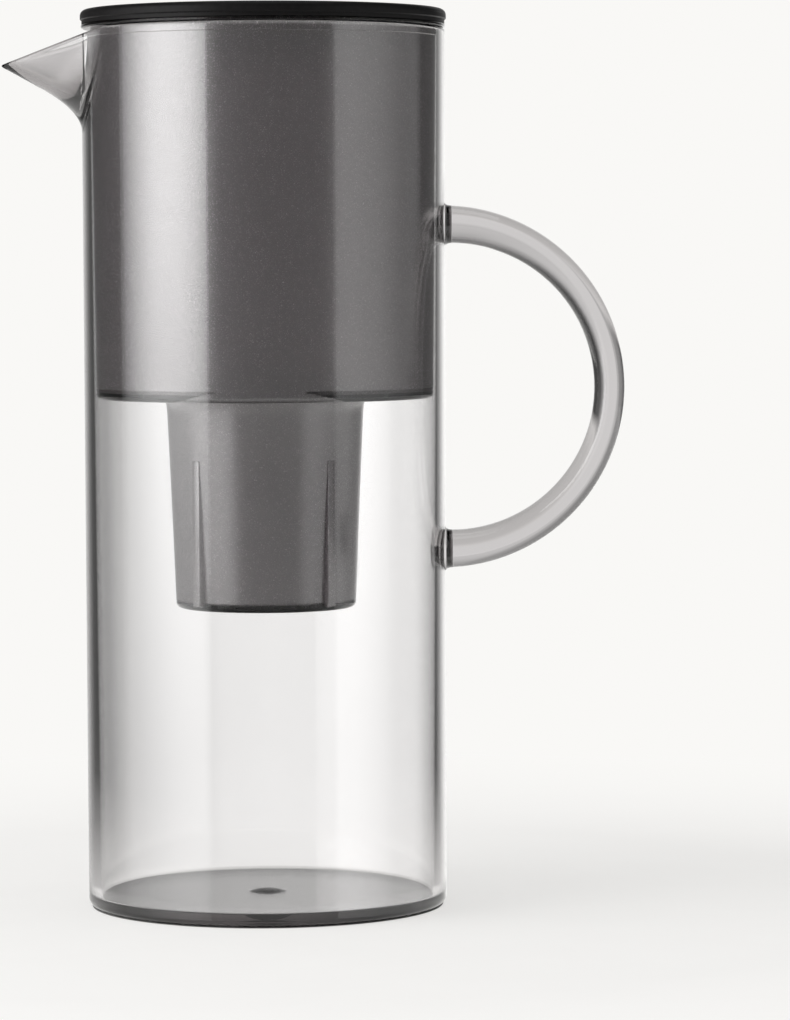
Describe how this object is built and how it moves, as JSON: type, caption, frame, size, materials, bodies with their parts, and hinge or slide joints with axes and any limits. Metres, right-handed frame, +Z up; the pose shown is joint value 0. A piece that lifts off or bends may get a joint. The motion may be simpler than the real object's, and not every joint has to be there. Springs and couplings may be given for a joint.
{
  "type": "water filter pitcher",
  "caption": "Clear cylindrical jug with a beak spout and loop handle, a lift-out smoke hopper with a filter well and cartridge, and a flat black lid with a hinged fill flap.",
  "frame": {"origin": "on the jug's axis, on the underside of its base", "axes": "+Z up along the jug's axis, -X towards the spout, +X towards the handle"},
  "size_m": [0.203, 0.1188, 0.2916],
  "materials": {
    "clear_plastic": "clear polished smoke-tinted plastic",
    "smoke_plastic": "dark smoke plastic, fine satin grain",
    "lid_plastic": "satin black moulded plastic",
    "seal": "soft matt silicone",
    "pin_steel": "drawn stainless wire",
    "cartridge_plastic": "off-white moulded plastic",
    "screen": "thin perforated plastic",
    "carbon": "packed black carbon granules",
    "felt": "pressed white felt",
    "resin": "packed amber resin beads"
  },
  "bodies": {
    "jug": {"jug_body": "clear_plastic", "handle": "clear_plastic"},
    "hopper": {"hopper": "smoke_plastic"},
    "lid": {"lid": "lid_plastic", "lid_seal": "seal", "flap_hinge_pin": "pin_steel"},
    "flap": {"fill_flap": "lid_plastic"},
    "cartridge": {"cartridge_cup": "cartridge_plastic", "cartridge_cap": "cartridge_plastic", "cartridge_seal": "seal", "inlet_screen": "screen", "carbon_bed": "carbon", "separator_felt": "felt", "resin_bed": "resin", "outlet_screen": "screen"}
  },
  "joints": [
    {"name": "hopper_lift", "type": "slide", "parent": "jug", "child": "hopper", "axis": [0, 0, 1], "range_m": [0, 0.2]},
    {"name": "lid_lift", "type": "slide", "parent": "hopper", "child": "lid", "axis": [0, 0, 1], "range_m": [0, 0.08]},
    {"name": "flap_hinge", "type": "hinge", "parent": "lid", "child": "flap", "pos_m": [0.008, 0, 0.2895], "axis": [0, -1, 0], "range_deg": [0, 95]},
    {"name": "cartridge_lift", "type": "slide", "parent": "hopper", "child": "cartridge", "axis": [0, 0, 1], "range_m": [0, 0.095]}
  ]
}
